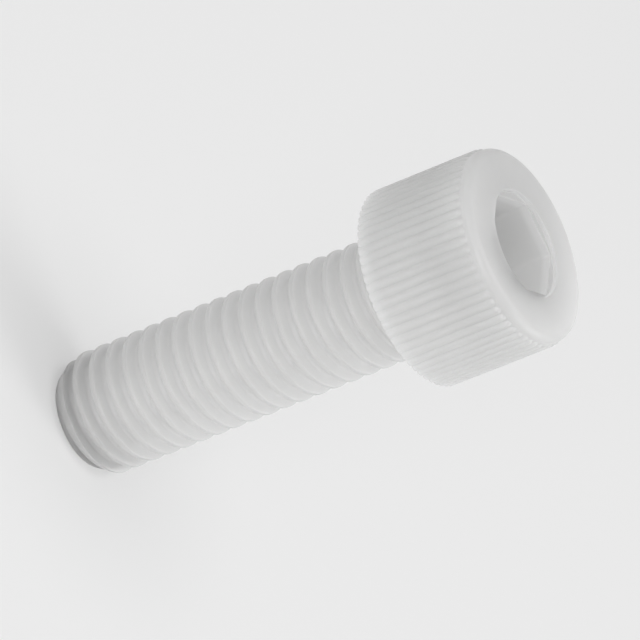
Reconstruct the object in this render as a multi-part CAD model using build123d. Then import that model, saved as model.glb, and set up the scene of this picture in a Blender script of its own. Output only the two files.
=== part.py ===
from build123d import *
from math import cos, radians
import os

# Socket head cap screw, M8 x 25, moulded in one piece of natural nylon.
# It stands on the flat end of its thread: z = 0 is that end, the axis is Z, and the head is on top.

# shank, as large as the crests of the thread that runs its whole length
thread_diameter = 7.95
thread_length = 24.9
tip_diameter = 6.3             # flat end of the thread
tip_chamfer = 1.3              # height of the cone that leads the thread in

# head
head_diameter = 12.9           # over the ribs
head_height = 8.1
face_fillet = 0.5              # radius of the edge round the flat face

# grip ribs round the head
rib_count = 65
rib_height = 0.16
rib_start = 0.05               # from the bearing face up to the ribs
rib_gap = 0.2                  # from the ribs up to the rounded edge
rib_bevel = 0.16               # height of the slope at each end of a rib

# hexagon socket for the key, in a shallow round mouth
socket_flats = 6.0
socket_depth = 5.0             # from the face
socket_turn = 8.4              # degrees from the +X side to the middle of a flat
mouth_margin = 0.036           # from the hexagon's corners out to the mouth's rim
mouth_depth = 0.3

# how far a body reaches into what it is joined to, or past the face it cuts
overlap = 1.0

thread_radius = thread_diameter / 2
rib_radius = head_diameter / 2
drum_radius = rib_radius - rib_height
face_height = thread_length + head_height


def revolved(points):
    """Turns a half section, given as (radius, height) points, about the screw's axis."""
    section = make_face(Polyline([(radius, 0, height) for radius, height in points], close=True))
    return revolve(section, Axis.Z)


def shank():
    """The shank with its lead-in cone, from the flat end up into the head."""
    return revolved([
        (0, 0),
        (tip_diameter / 2, 0),
        (thread_radius, tip_chamfer),
        (thread_radius, thread_length + overlap),
        (0, thread_length + overlap),
    ])


def drum():
    """The head without its ribs, its upper edge rounded into the flat face."""
    body = Pos(0, 0, thread_length) * extrude(Circle(drum_radius), head_height)
    return fillet(body.edges().group_by(Axis.Z)[-1], face_fillet)


def rib_outline():
    """The drum's cross-section with its ribs: one arc for each rib, from foot to foot over its back."""
    step = 360 / rib_count
    arcs = []
    for rib in range(rib_count):
        foot, back, next_foot = (
            Vector(radius, 0, 0).rotate(Axis.Z, (rib + part) * step)
            for radius, part in ((drum_radius, 0), (rib_radius, 0.5), (drum_radius, 1))
        )
        arcs.append(ThreePointArc(foot, back, next_foot))
    return make_face(arcs)


def ribs():
    """The grip ribs: round-backed, side by side, sloped down to the drum at both ends."""
    bottom = thread_length + rib_start
    top = face_height - face_fillet - rib_gap
    envelope = revolved([
        (0, bottom),
        (drum_radius, bottom),
        (rib_radius, bottom + rib_bevel),
        (rib_radius, top - rib_bevel),
        (drum_radius, top),
        (0, top),
    ])
    return Pos(0, 0, bottom) * extrude(rib_outline(), top - bottom) & envelope


def socket():
    """What the socket takes away: the key's hexagon and the round mouth above it."""
    hexagon = RegularPolygon(socket_flats / 2, 6, major_radius=False, rotation=30 + socket_turn)
    mouth = Circle(socket_flats / 2 / cos(radians(30)) + mouth_margin)
    key_hole = Pos(0, 0, face_height - socket_depth) * extrude(hexagon, socket_depth + overlap)
    return key_hole + Pos(0, 0, face_height - mouth_depth) * extrude(mouth, mouth_depth + overlap)


screw = shank() + drum() + ribs() - socket()

os.makedirs("parts", exist_ok=True)
export_step(screw, "parts/screw.step")
print("screw", round(screw.volume, 1), "mm3")
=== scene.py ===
import math

import bmesh
import bpy
import numpy as np
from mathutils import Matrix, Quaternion, Vector


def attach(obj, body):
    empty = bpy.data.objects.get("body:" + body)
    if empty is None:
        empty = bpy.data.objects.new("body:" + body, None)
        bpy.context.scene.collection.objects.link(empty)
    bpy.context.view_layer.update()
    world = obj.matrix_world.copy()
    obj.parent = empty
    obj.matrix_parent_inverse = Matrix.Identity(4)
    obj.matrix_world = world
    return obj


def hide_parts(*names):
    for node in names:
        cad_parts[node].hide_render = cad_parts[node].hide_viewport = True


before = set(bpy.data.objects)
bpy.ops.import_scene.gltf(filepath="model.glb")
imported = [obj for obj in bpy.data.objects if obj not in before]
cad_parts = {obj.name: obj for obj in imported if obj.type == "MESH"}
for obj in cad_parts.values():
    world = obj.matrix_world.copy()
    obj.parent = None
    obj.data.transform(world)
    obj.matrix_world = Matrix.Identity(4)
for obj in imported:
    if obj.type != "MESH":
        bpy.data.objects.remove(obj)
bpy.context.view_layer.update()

mm = 0.001
turn = 2 * np.pi


# shader graph helpers

class Sock:
    # one output socket, with the arithmetic that the materials below use
    def __init__(self, graph, link):
        self.graph, self.link = graph, link

    def math(self, operation, *others):
        values = [self.link] + [getattr(o, "link", o) for o in others]
        return self.graph.node("ShaderNodeMath", {"operation": operation}, dict(enumerate(values)))

    def __add__(self, other):
        return self.math("ADD", other)

    def __mul__(self, other):
        return self.math("MULTIPLY", other)

    def __sub__(self, other):
        return self.math("SUBTRACT", other)

    def __rsub__(self, other):
        return self * -1.0 + other

    # kept between a lowest value and 1
    def limited(self, lowest=0.0):
        return self.math("MAXIMUM", lowest).math("MINIMUM", 1.0)

    __radd__ = __add__
    __rmul__ = __mul__


class Graph:
    # the node tree of a material or a world, with its ready-made shader and output nodes
    def __init__(self, owner, shader, output):
        owner.use_nodes = True
        self.tree = owner.node_tree
        self.shader, self.output = self.tree.nodes[shader], self.tree.nodes[output]

    # adds a node: its type, its settings, then the values or links of its inputs; gives one of its outputs
    def node(self, kind, settings=None, inputs=None, output=0):
        made = self.tree.nodes.new(kind)
        for key, value in (settings or {}).items():
            setattr(made, key, value)
        self.feed(made, inputs or {})
        return Sock(self, made.outputs[output])

    def feed(self, node, inputs):
        for key, value in inputs.items():
            value = getattr(value, "link", value)
            if isinstance(value, bpy.types.NodeSocket):
                self.tree.links.new(value, node.inputs[key])
            else:
                node.inputs[key].default_value = value

    # a Mix node's sockets 6, 7 and 2 are its colours A, B and result
    def mixColor(self, factor, colorA, colorB):
        return self.node("ShaderNodeMix", {"data_type": "RGBA"}, {0: factor, 6: colorA, 7: colorB}, 2)

    def noise(self, place, scale, detail=2.0, roughness=0.5):
        return self.node("ShaderNodeTexNoise", None,
                         {"Vector": place, "Scale": scale, "Detail": detail, "Roughness": roughness})

    def vectorMath(self, operation, vector, other=(0.0, 0.0, 0.0), output="Vector"):
        return self.node("ShaderNodeVectorMath", {"operation": operation}, {0: vector, 1: other}, output)


# surface helpers: every surface is an array of points, row by row along a profile, column by column round
# the axis

# straight runs between corners, each corner rounded by an arc that starts and ends "cut" away from it: a
# quadratic curve whose middle point weighs the sine of half the corner's angle, which makes it a circle.
# A row just before and after each arc, "hold" times as far out, keeps the runs flat. Where a run is too
# short for the arcs at both its ends, they share "room" of it by their cuts. Corners are (radius, height,
# cut), with one value for all columns or one for each. The result is rows x columns x 2 (radius, height).
def roundedRows(corners, steps, hold=1.15, room=0.98):
    width = max(np.size(value) for corner in corners for value in corner[:2])
    points = np.stack([np.stack([np.zeros(width) + r, np.zeros(width) + z], -1) for r, z, cut in corners])
    cuts = [cut for r, z, cut in corners]
    rows = [points[0]]
    t = np.linspace(0, 1, steps + 1)[:, None, None]
    for i, cut in enumerate(cuts[1:-1], 1):
        here = points[i]
        toBefore, toAfter = points[i - 1] - here, points[i + 1] - here
        lengthBefore = np.linalg.norm(toBefore, axis=-1, keepdims=True)
        lengthAfter = np.linalg.norm(toAfter, axis=-1, keepdims=True)
        partBefore = np.minimum(cut / lengthBefore, room / hold * cut / (cut + cuts[i - 1]))
        partAfter = np.minimum(cut / lengthAfter, room / hold * cut / (cut + cuts[i + 1]))
        a, b = here + toBefore * partBefore, here + toAfter * partAfter
        cosine = (toBefore * toAfter).sum(-1, keepdims=True) / (lengthBefore * lengthAfter)
        weight = np.sqrt((1 - cosine) / 2)
        arc = (1 - t) ** 2 * a + 2 * t * (1 - t) * weight * here + t ** 2 * b
        arc /= (1 - t) ** 2 + 2 * t * (1 - t) * weight + t ** 2
        rows += [here + toBefore * partBefore * hold, *arc, here + toAfter * partAfter * hold]
    rows.append(points[-1])
    return np.array(rows)


# turns rows of (radius, height) into points: x = radius cos(angle), y = radius sin(angle)
def aroundAxis(rows, angles):
    radius, height = rows[..., 0], rows[..., 1]
    return np.stack([radius * np.cos(angles), radius * np.sin(angles), height], -1)


# quads between the rows of a closed grid whose first vertex has index start
def gridFaces(rowCount, columnCount, start):
    index = start + np.arange(rowCount * columnCount).reshape(rowCount, columnCount)
    right = np.roll(index, -1, 1)
    return np.stack([index[:-1], right[:-1], right[1:], index[1:]], -1).reshape(-1, 4)


# triangles between two rings of any counts: the vertices of both are sorted by angle, and each one in
# turn closes a triangle with the last vertex of the other ring
def bridgeFaces(innerAngles, innerIndex, outerAngles, outerIndex):
    inner = np.argsort(innerAngles % turn)
    outer = np.argsort(outerAngles % turn)
    order = np.argsort(np.concatenate([(innerAngles % turn)[inner], (outerAngles % turn)[outer]]))
    isInner = order < len(inner)
    innerSeen = np.cumsum(isInner) - 1
    outerSeen = np.cumsum(~isInner) - 1
    innerHere = innerIndex[inner][innerSeen % len(inner)]
    outerHere = outerIndex[outer][outerSeen % len(outer)]
    third = np.where(isInner, innerIndex[inner][(innerSeen - 1) % len(inner)],
                     outerIndex[outer][(outerSeen - 1) % len(outer)])
    return np.where(isInner[:, None], np.stack([third, outerHere, innerHere], -1),
                    np.stack([innerHere, third, outerHere], -1))


# the screw: one moulded piece, in millimetres, standing on the flat end of its thread

screwSettings = {
    # thread; crestOffset is how far the crest passes above the bearing face at angle 0
    "threadRadius": 3.965, "pitch": 1.25, "threadLength": 24.9, "crestWidth": 0.29, "rootWidth": 0.30,
    "flankAngle": 30.0, "crestOffset": 0.247, "crestRound": 0.06, "rootRound": 0.13,
    # lead-in cone at the tip
    "tipRadius": 3.15, "tipChamfer": 1.3, "tipRound": 0.16, "tipBlend": 0.05,
    # head and its grip ribs
    "drumRadius": 6.29, "headHeight": 8.1, "faceFillet": 0.5, "ribCount": 65, "ribHeight": 0.16,
    "ribGap": 0.17, "ribSlope": 0.22, "ribEndRound": 0.30, "rimRound": 0.035,
    "ribBackRound": 0.12, "ribToeRound": 0.06,
    # hexagon socket and its round mouth
    "socketFlats": 6.0, "socketDepth": 5.0, "socketTurn": 8.4, "mouthRadius": 3.5, "mouthDepth": 0.3,
    "socketCornerRound": 0.20, "socketEdgeRound": 0.06, "socketFloorRound": 0.2,
    # rings where the surfaces meet: two on the bearing face and two on the flat face
    "shankRing": 5.2, "bearingRing": 5.4, "faceOuterRing": 5.3, "faceInnerRing": 3.7,
    # columns round the axis, and points along a profile
    "threadColumns": 96, "threadSteps": 3, "flankRows": 3, "tipSteps": 8, "ribColumns": 8,
    "socketColumns": 180, "edgeSteps": 5,
    # points nearer to each other than this become one, in metres
    "mergeDistance": 1e-7,
}


# the thread's section over one pitch, root to root, as (height, depth below the crest): a trapezoid as
# deep as a flank is wide over the tangent of the flank angle, with its four corners rounded and a few more
# points along the flanks
def threadSection(s):
    half = s["pitch"] / 2
    crest, root = s["crestWidth"] / 2, s["rootWidth"] / 2
    depth = (half - crest - root) / math.tan(math.radians(s["flankAngle"]))
    corners = [(0, depth, 0), (root, depth, s["rootRound"]), (half - crest, 0, s["crestRound"]),
               (half + crest, 0, s["crestRound"]), (2 * half - root, depth, s["rootRound"]),
               (2 * half, depth, 0)]
    outline = roundedRows(corners, s["threadSteps"])[:, 0]
    flank = np.linspace(root, half - crest, s["flankRows"] + 2)[1:-1]
    height = np.sort(np.concatenate([outline[:, 0], flank, 2 * half - flank]))
    return np.stack([height, np.interp(height, outline[:, 0], outline[:, 1])], -1)


# the lower of two values, with the edge between them rounded: where they are nearer than a small width, a
# quarter of the width times the square of how far they are within it comes off
def softLower(a, b, width):
    reach = np.maximum(width - np.abs(a - b), 0) / width
    return np.minimum(a, b) - reach ** 2 * width / 4


# the shank is a strip one pitch wide that runs along a helix, each turn joined to the next. A strip point
# at climb c (the height it would have on an endless thread) lies at radius min(thread, cone) and height c.
# Below the tip and above the bearing face the climb goes on along the flat faces, inwards to the axis and
# outwards to a ring under the head, until all of a turn's points meet there.
def shankSurface(s):
    section = threadSection(s)
    across, depth = section[:-1, 0], section[:-1, 1]
    columns, pitch = s["threadColumns"], s["pitch"]
    crestRadius, ringRadius = s["threadRadius"], s["shankRing"]
    tip, cone, top = s["tipRadius"], s["tipChamfer"], s["threadLength"]
    firstRoot = top + s["crestOffset"] - pitch / 2
    turnsBelow = math.ceil((firstRoot + tip) / pitch) + 1
    turnsAbove = math.ceil((top - firstRoot + ringRadius - crestRadius) / pitch) + 1
    step = np.arange((turnsBelow + turnsAbove) * columns + 1)
    angle = (step % columns) * turn / columns
    climb = firstRoot + pitch * (step[:, None] / columns - turnsBelow) + across
    # half section of the end over the climb: flat, edge rounded by a quadratic curve, and the cone, which
    # goes on past the crests and there no longer limits them
    edge, slope = s["tipRound"], (crestRadius - tip) / cone
    t = np.linspace(0, 1, s["tipSteps"] + 1)
    edgeRadius = (1 - t) ** 2 * (tip - edge) + 2 * t * (1 - t) * tip + t ** 2 * (tip + edge * slope)
    past = crestRadius + 1      # any radius beyond the crests
    coneEnd = (past - tip) / slope
    climbs = np.concatenate([[-tip], edge * (2 * t - 1), [coneEnd, top]])
    limit = np.interp(climb, climbs, np.concatenate([[0], edgeRadius, [past, past]]))
    height = np.interp(climb, climbs, np.concatenate([[0], edge * t ** 2, [coneEnd, top]]))
    radius = softLower(limit, crestRadius - depth, s["tipBlend"])
    # thread radius where the helix meets the bearing face, at each angle
    phase = (top - firstRoot - pitch * angle / turn) % pitch
    meeting = crestRadius - np.interp(phase, section[:, 0], section[:, 1])[:, None]
    spread = np.clip((climb - top) / (ringRadius - crestRadius), 0, 1)
    radius = np.where(climb > top, meeting + (ringRadius - meeting) * spread, radius)
    radius = np.where(climb <= -tip, 0, radius)
    points = np.stack([radius * np.cos(angle)[:, None], radius * np.sin(angle)[:, None], height], -1)
    # faces: along the strip, and across its seam to the next turn
    count = len(across)
    index = np.arange(points.shape[0] * count).reshape(-1, count)
    nextTurn = np.full((len(step), 1), -1)
    nextTurn[:-columns, 0] = index[columns:, 0]
    wide = np.concatenate([index, nextTurn], 1)
    quads = np.stack([wide[:-1, :-1], wide[1:, :-1], wide[1:, 1:], wide[:-1, 1:]], -1).reshape(-1, 4)
    quads = quads[(quads >= 0).all(1)]
    return points.reshape(-1, 3), quads, index[-1 - columns:-1, 0]


# height of the ribs above the drum at each angle: circular arcs from foot to foot, whose radius is the
# half width squared plus the height squared, over twice the height. Also gives the angles, and each one's
# place across its rib: -1 and 1 at the feet, 0 on the back.
def ribProfile(s):
    perRib = s["ribColumns"]
    angles = np.arange(s["ribCount"] * perRib) * turn / (s["ribCount"] * perRib)
    place = (np.arange(len(angles)) % perRib) / perRib * 2 - 1
    halfWidth = s["drumRadius"] * math.sin(math.pi / s["ribCount"])
    bend = (halfWidth ** 2 + s["ribHeight"] ** 2) / (2 * s["ribHeight"])
    rise = np.sqrt(bend ** 2 - (halfWidth * place) ** 2) - (bend - s["ribHeight"])
    return angles, place, np.maximum(rise, 0)


# the head from a ring on the bearing face, out to the ribs' square rear ends, along the ribs, over their
# rounded front ends to the drum and its filleted edge, to a ring on the flat face. The front ends are
# round in plan: each angle's end is drawn back by ribEndRound times one less the root of one less its
# place squared.
def headSurface(s):
    angles, place, rise = ribProfile(s)
    bottom, top = s["threadLength"], s["threadLength"] + s["headHeight"]
    drum = s["drumRadius"]
    tuck = s["ribEndRound"] * (1 - np.sqrt(1 - place ** 2))
    ribTop = top - s["faceFillet"] - s["ribGap"] - tuck
    rows = roundedRows([
        (s["bearingRing"], bottom, 0),
        (drum + rise, bottom, s["rimRound"]),
        (drum + rise, ribTop - s["ribSlope"], s["ribBackRound"]),
        (drum, ribTop, s["ribToeRound"]),
        (drum, top, s["faceFillet"]),
        (s["faceOuterRing"], top, 0),
    ], s["edgeSteps"])
    return aroundAxis(rows, angles), angles


# the socket from a ring on the flat face, down the round mouth to its ledge, and from there down the walls
# of a hexagon with rounded corners and across its floor to the axis. The hexagon's radius is half its
# flats over the cosine of the angle from the nearest flat. Near a corner it follows the corner's own small
# circle: the centre's distance times the cosine of the angle from the corner, plus the root of the
# circle's radius squared less the centre's distance times that angle's sine, squared.
def socketSurface(s):
    columns = s["socketColumns"]
    angles = math.radians(s["socketTurn"]) + np.arange(columns) * turn / columns
    half = s["socketFlats"] / 2
    sixth, twelfth = turn / 6, turn / 12
    fromFlat = (np.arange(columns) * turn / columns + twelfth) % sixth - twelfth
    fromCorner = twelfth - np.abs(fromFlat)
    bend = s["socketCornerRound"]
    centre = (half - bend) / math.cos(twelfth)
    inside = np.maximum(bend ** 2 - (centre * np.sin(fromCorner)) ** 2, 0)
    corner = centre * np.cos(fromCorner) + np.sqrt(inside)
    cornerEnd = math.atan2(bend * math.sin(twelfth), centre + bend * math.cos(twelfth))
    wall = np.where(fromCorner < cornerEnd, corner, half / np.cos(fromFlat))
    top = s["threadLength"] + s["headHeight"]
    ledge, floor = top - s["mouthDepth"], top - s["socketDepth"]
    mouth, edge = s["mouthRadius"], s["socketEdgeRound"]
    rows = roundedRows([
        (s["faceInnerRing"], top, 0),
        (mouth, top, edge),
        (mouth, ledge, edge),
        (wall, ledge, edge),
        (wall, floor, s["socketFloorRound"]),
        (0, floor, 0),
    ], s["edgeSteps"])
    return aroundAxis(rows, angles), angles


# shank, head and socket as one closed mesh: flat strips of triangles join the shank's last turn to the
# head's first ring on the bearing face, and the head's last ring to the socket's first on the flat face
def makeScrew(s):
    shank, shankFaces, shankRing = shankSurface(s)
    head, headAngles = headSurface(s)
    socket, socketAngles = socketSurface(s)
    headStart = len(shank)
    socketStart = headStart + head[..., 0].size
    points = np.concatenate([shank, head.reshape(-1, 3), socket.reshape(-1, 3)]) * mm
    shankAngles = np.arange(s["threadColumns"]) * turn / s["threadColumns"]
    headFirst = headStart + np.arange(len(headAngles))
    headLast = socketStart - len(headAngles) + np.arange(len(headAngles))
    socketFirst = socketStart + np.arange(len(socketAngles))
    faces = shankFaces.tolist()
    faces += gridFaces(*head.shape[:2], headStart).tolist()
    faces += gridFaces(*socket.shape[:2], socketStart).tolist()
    faces += bridgeFaces(shankAngles, shankRing, headAngles, headFirst).tolist()
    faces += bridgeFaces(socketAngles, socketFirst, headAngles, headLast)[:, ::-1].tolist()
    mesh = bpy.data.meshes.new("nylonScrew")
    mesh.from_pydata(points, [], faces)
    work = bmesh.new()
    work.from_mesh(mesh)
    bmesh.ops.remove_doubles(work, verts=work.verts, dist=s["mergeDistance"])
    bmesh.ops.recalc_face_normals(work, faces=work.faces)
    openEdges = sum(1 for edge in work.edges if len(edge.link_faces) != 2)
    work.to_mesh(mesh)
    work.free()
    mesh.shade_smooth()
    screw = bpy.data.objects.new("nylonScrew", mesh)
    bpy.context.scene.collection.objects.link(screw)
    print("screw:", len(mesh.polygons), "faces,", openEdges, "open edges")
    return screw


# material

nylonSettings = {
    # pale and clouded are the nylon's own tones, mixed at random; the third is a darker colour of painted
    # shade
    "pale": (0.575, 0.575, 0.571, 1), "clouded": (0.53, 0.53, 0.526, 1), "paintedGrooveShade": (0.495, 0.495, 0.491, 1),
    "cloudScale": 220.0, "cloudDetail": 3.0, "cloudRoughness": 0.6,
    "roughness": 0.46, "roughnessRange": 0.08, "refraction": 1.53, "specularLevel": 0.65,
    # how far light spreads inside, in millimetres
    "subsurfaceDepth": 24.0,
    # the surface's fine unevenness: heights in millimetres, and scales as the noise counts them
    "grainScale": 5200.0, "grainHeight": 0.0008, "waveScale": 900.0, "waveHeight": 0.0022,
    "drawScale": (2600.0, 2600.0, 60.0), "drawHeight": 0.0005,
    # mould marks over one turn of the thread, coarse and fine, and the fine ones' share and shift in phase
    "markCounts": (6, 10), "fineMarkShare": 0.6, "fineMarkShift": 1.0, "markHeight": 0.0009,
}


# milky nylon that light goes deep into, with a satin moulded skin. Its bump is grain and slow waves, and
# on the shank fine mould marks that follow the thread: sines of the helix phase, which is the height in
# turns of the thread minus the angle round the axis. On the head the marks are drawn out along the axis
# instead. Inside the radius of the ribs' backs the head has painted shade, a greyer colour: in the grooves
# between the ribs, fading out where the ribs end, and in the socket.
def nylonMaterial(s, shape):
    material = bpy.data.materials.new("naturalNylon")
    g = Graph(material, "Principled BSDF", "Material Output")
    place = g.node("ShaderNodeTexCoord", output="Object")
    clouds = g.noise(place, s["cloudScale"], s["cloudDetail"], s["cloudRoughness"])
    grain = g.noise(place, s["grainScale"])
    wave = g.noise(place, s["waveScale"])
    x, y, z = (g.node("ShaderNodeSeparateXYZ", None, {"Vector": place}, axis) for axis in "XYZ")
    phase = z * (turn / (shape["pitch"] * mm)) - y.math("ARCTAN2", x)
    coarse, fine = s["markCounts"]
    marks = (phase * coarse).math("SINE")
    marks = marks + (phase * fine + s["fineMarkShift"]).math("SINE") * s["fineMarkShare"]
    onShank = z.math("LESS_THAN", shape["threadLength"] * mm)
    drawn = g.noise(g.vectorMath("MULTIPLY", place, s["drawScale"]), 1.0)
    height = grain * s["grainHeight"] + wave * s["waveHeight"] + marks * wave * onShank * s["markHeight"]
    height = height + drawn * (1 - onShank) * s["drawHeight"]
    radius = g.vectorMath("LENGTH", g.vectorMath("MULTIPLY", place, (1.0, 1.0, 0.0)), output="Value")
    ribEnd = shape["threadLength"] + shape["headHeight"] - shape["faceFillet"] - shape["ribGap"]
    inwards = ((shape["drumRadius"] + shape["ribHeight"]) * mm - radius) * (1 / (shape["ribHeight"] * mm))
    downwards = (ribEnd * mm - z) * (1 / (shape["ribEndRound"] * mm))
    # painted shade: where this mask is 1 the colour is darkened, between the ribs and in the socket
    paintedGrooveShade = inwards.limited() * downwards.limited() * (1 - onShank)
    g.feed(g.shader, {
        "Base Color": g.mixColor(paintedGrooveShade, g.mixColor(clouds, s["pale"], s["clouded"]), s["paintedGrooveShade"]),
        "Roughness": s["roughness"] + (wave - 0.5) * s["roughnessRange"],
        "Normal": g.node("ShaderNodeBump", None, {"Strength": 1.0, "Distance": mm, "Height": height}),
        "IOR": s["refraction"],
        "Specular IOR Level": s["specularLevel"],
        "Subsurface Weight": 1.0,
        "Subsurface Radius": (1.0, 1.0, 1.0),
        "Subsurface Scale": s["subsurfaceDepth"] * mm,
    })
    return material


# floor, lights and camera

stageSettings = {
    "floorSize": 12.0, "floorColor": (0.93, 0.93, 0.93, 1), "worldColor": (1, 1, 1, 1), "worldStrength": 0.36,
    "floorRoughness": 0.85, "fibreScale": 900.0, "fibreDetail": 3.0, "fibreRange": 0.1,
    # the backdrop tone's share grows with the distance from start to full, in metres, and is never under near
    "backdropColor": (0.87, 0.87, 0.87, 1), "backdropNear": 0.35, "backdropStart": 0.05, "backdropFull": 0.30,
}


# 1 for the rays that only look at the background, in the open or through a reflection or clear body
def lookingRays(g):
    camera, glossy, clear = (g.node("ShaderNodeLightPath", None, None, name)
                             for name in ("Is Camera Ray", "Is Glossy Ray", "Is Transmission Ray"))
    return (camera + glossy + clear).math("MINIMUM", 1.0)


# pale paper, which takes the light and the shadow; looking rays see some of the plain backdrop tone in it
# near the screw, and that tone alone further off
def makeFloor(s):
    half = s["floorSize"] / 2
    mesh = bpy.data.meshes.new("floor")
    corners = [(-half, -half, 0), (half, -half, 0), (half, half, 0), (-half, half, 0)]
    mesh.from_pydata(corners, [], [(0, 1, 2, 3)])
    floor = bpy.data.objects.new("floor", mesh)
    bpy.context.scene.collection.objects.link(floor)
    paper = bpy.data.materials.new("floorPaper")
    g = Graph(paper, "Principled BSDF", "Material Output")
    place = g.node("ShaderNodeTexCoord", output="Object")
    fibre = g.noise(place, s["fibreScale"], s["fibreDetail"])
    roughness = s["floorRoughness"] + (fibre - 0.5) * s["fibreRange"]
    g.feed(g.shader, {"Base Color": s["floorColor"], "Roughness": roughness})
    distance = g.vectorMath("LENGTH", place, output="Value")
    share = (distance - s["backdropStart"]) * (1 / (s["backdropFull"] - s["backdropStart"]))
    share = share.limited(s["backdropNear"]) * lookingRays(g)
    backdrop = g.node("ShaderNodeEmission", None, {"Color": s["backdropColor"], "Strength": 1.0})
    surface = g.node("ShaderNodeMixShader", None, {0: share, 1: g.shader.outputs[0], 2: backdrop})
    g.feed(g.output, {"Surface": surface})
    mesh.materials.append(paper)


# soft even light all round, with the backdrop tone for the rays that look at it
def makeWorld(s):
    world = bpy.data.worlds.new("studio")
    bpy.context.scene.world = world
    g = Graph(world, "Background", "World Output")
    g.feed(g.shader, {"Color": s["worldColor"], "Strength": s["worldStrength"]})
    backdrop = g.node("ShaderNodeBackground", None, {"Color": s["backdropColor"], "Strength": 1.0})
    surface = g.node("ShaderNodeMixShader", None, {0: lookingRays(g), 1: g.shader.outputs[0], 2: backdrop})
    g.feed(g.output, {"Surface": surface})


# unit vector from the object towards azimuth and elevation, as the standard views count them
def towards(azimuth, elevation):
    a, e = math.radians(azimuth), math.radians(elevation)
    return Vector((math.sin(a) * math.cos(e), -math.cos(a) * math.cos(e), math.sin(e)))


lampSettings = {
    # aim point and distance from it, in metres
    "aim": (0, 0, 0.017), "distance": 0.60,
    # azimuth and elevation in degrees, diameter in metres, power in watts
    "front": (-31, 6, 0.25, 1.65),
    "side": (76, 26, 0.40, 1.20),
    "top": (0, 88, 0.40, 1.20),
}


def makeLamp(s, name):
    azimuth, elevation, size, power = s[name]
    lamp = bpy.data.lights.new(name + "Lamp", "AREA")
    lamp.shape, lamp.size, lamp.energy = "DISK", size, power
    body = bpy.data.objects.new(name + "Lamp", lamp)
    direction = towards(azimuth, elevation)
    body.location = Vector(s["aim"]) + direction * s["distance"]
    body.rotation_mode = "QUATERNION"
    body.rotation_quaternion = (-direction).to_track_quat("-Z", "Y")
    bpy.context.scene.collection.objects.link(body)


# aim point, distance, lens and sensor in millimetres, angles in degrees, clipping in metres
cameraSettings = {
    "aim": (-0.28, 0.17, 17.99), "azimuth": -31.03, "elevation": 26.74, "roll": 68.18,
    "distance": 518.2, "lens": 472.1, "sensor": 36.0, "clipping": (0.01, 20.0),
}


# looks at the aim point from its azimuth and elevation, then rolls about the line of sight
def makeCamera(s):
    data = bpy.data.cameras.new("camera")
    data.lens, data.sensor_width = s["lens"], s["sensor"]
    data.clip_start, data.clip_end = s["clipping"]
    camera = bpy.data.objects.new("camera", data)
    direction = towards(s["azimuth"], s["elevation"])
    camera.location = Vector(s["aim"]) * mm + direction * s["distance"] * mm
    camera.rotation_mode = "QUATERNION"
    upright = (-direction).to_track_quat("-Z", "Y")
    roll = Quaternion((0, 0, 1), math.radians(s["roll"]))
    camera.rotation_quaternion = upright @ roll
    bpy.context.scene.collection.objects.link(camera)
    bpy.context.scene.camera = camera


print("building the screw")
screw = makeScrew(screwSettings)
screw.data.materials.append(nylonMaterial(nylonSettings, screwSettings))
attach(screw, "root")
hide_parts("screw")

print("setting the stage")
makeFloor(stageSettings)
makeWorld(stageSettings)
for name in ("front", "side", "top"):
    makeLamp(lampSettings, name)
makeCamera(cameraSettings)
bpy.context.scene.view_settings.view_transform = "Standard"
